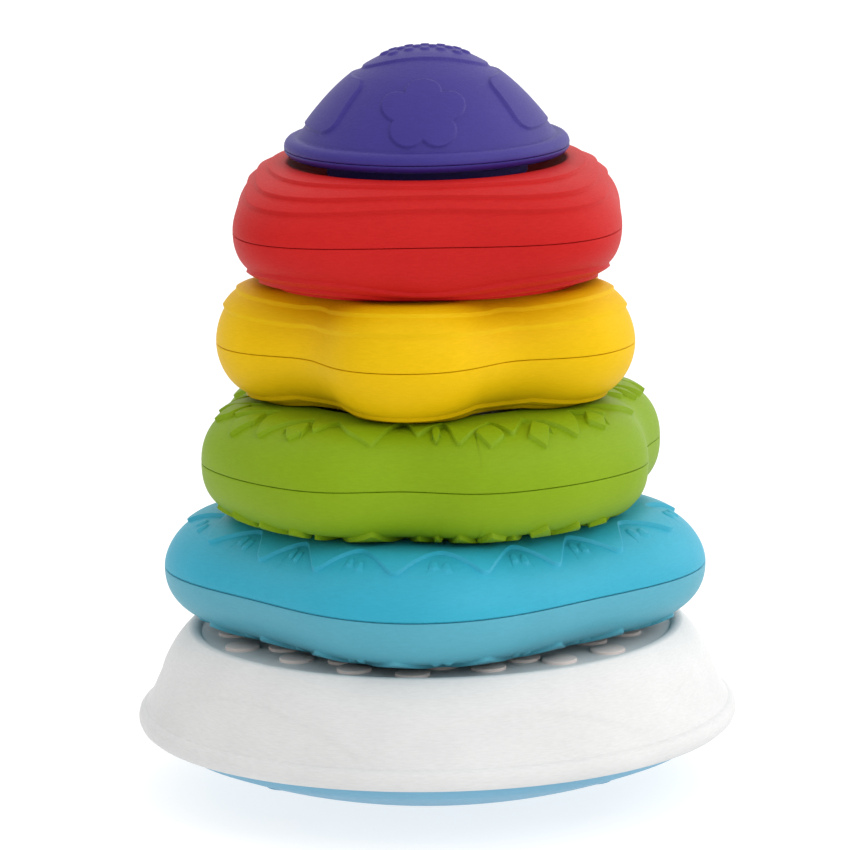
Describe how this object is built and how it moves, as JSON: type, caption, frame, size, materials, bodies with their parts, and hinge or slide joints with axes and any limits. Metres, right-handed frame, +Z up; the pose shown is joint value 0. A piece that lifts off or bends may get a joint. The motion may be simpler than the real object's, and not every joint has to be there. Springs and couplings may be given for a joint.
{
  "type": "stacking ring toy",
  "caption": "Weighted rocker base with a central post, stacked hollow rings of different outlines and a loose domed cap.",
  "frame": {"origin": "centre of the flat foot under the rocker bowl, on the surface that the toy stands on", "axes": "+Z up along the post, -Y towards the front that faces the viewer, +X to the viewer's right"},
  "size_m": [0.1704, 0.1704, 0.2121],
  "materials": {
    "white_plastic": "satin",
    "light_blue_plastic": "satin",
    "blue_plastic": "satin, fine grain",
    "green_plastic": "satin, fine grain",
    "yellow_plastic": "satin, fine grain",
    "red_plastic": "satin, fine grain",
    "purple_plastic": "matte, fine orange-peel grain",
    "steel": "zinc-plated screws and plain steel weight"
  },
  "bodies": {
    "base": {"base_shell": "white_plastic", "rocker_bowl": "light_blue_plastic", "centre_post": "white_plastic", "ballast_weight": "steel", "ballast_cover": "white_plastic", "base_screw_1": "steel", "base_screw_2": "steel", "base_screw_3": "steel", "base_screw_4": "steel", "post_screw_1": "steel", "post_screw_2": "steel", "post_screw_3": "steel", "cover_screw_1": "steel", "cover_screw_2": "steel"},
    "blue_ring": {"blue_ring_upper": "blue_plastic", "blue_ring_lower": "blue_plastic"},
    "green_ring": {"green_ring_upper": "green_plastic", "green_ring_lower": "green_plastic"},
    "yellow_ring": {"yellow_ring_upper": "yellow_plastic", "yellow_ring_lower": "yellow_plastic"},
    "red_ring": {"red_ring_upper": "red_plastic", "red_ring_lower": "red_plastic"},
    "cap": {"cap_dome": "purple_plastic", "cap_base": "purple_plastic"}
  },
  "joints": [
    {"name": "blue_lift", "type": "slide", "parent": "base", "child": "blue_ring", "axis": [0, 0, 1], "range_m": [0, 0.15]},
    {"name": "green_lift", "type": "slide", "parent": "blue_ring", "child": "green_ring", "axis": [0, 0, 1], "range_m": [0, 0.12]},
    {"name": "yellow_lift", "type": "slide", "parent": "green_ring", "child": "yellow_ring", "axis": [0, 0, 1], "range_m": [0, 0.085]},
    {"name": "red_lift", "type": "slide", "parent": "yellow_ring", "child": "red_ring", "axis": [0, 0, 1], "range_m": [0, 0.055]},
    {"name": "cap_lift", "type": "slide", "parent": "red_ring", "child": "cap", "axis": [0, 0, 1], "range_m": [0, 0.03]}
  ]
}
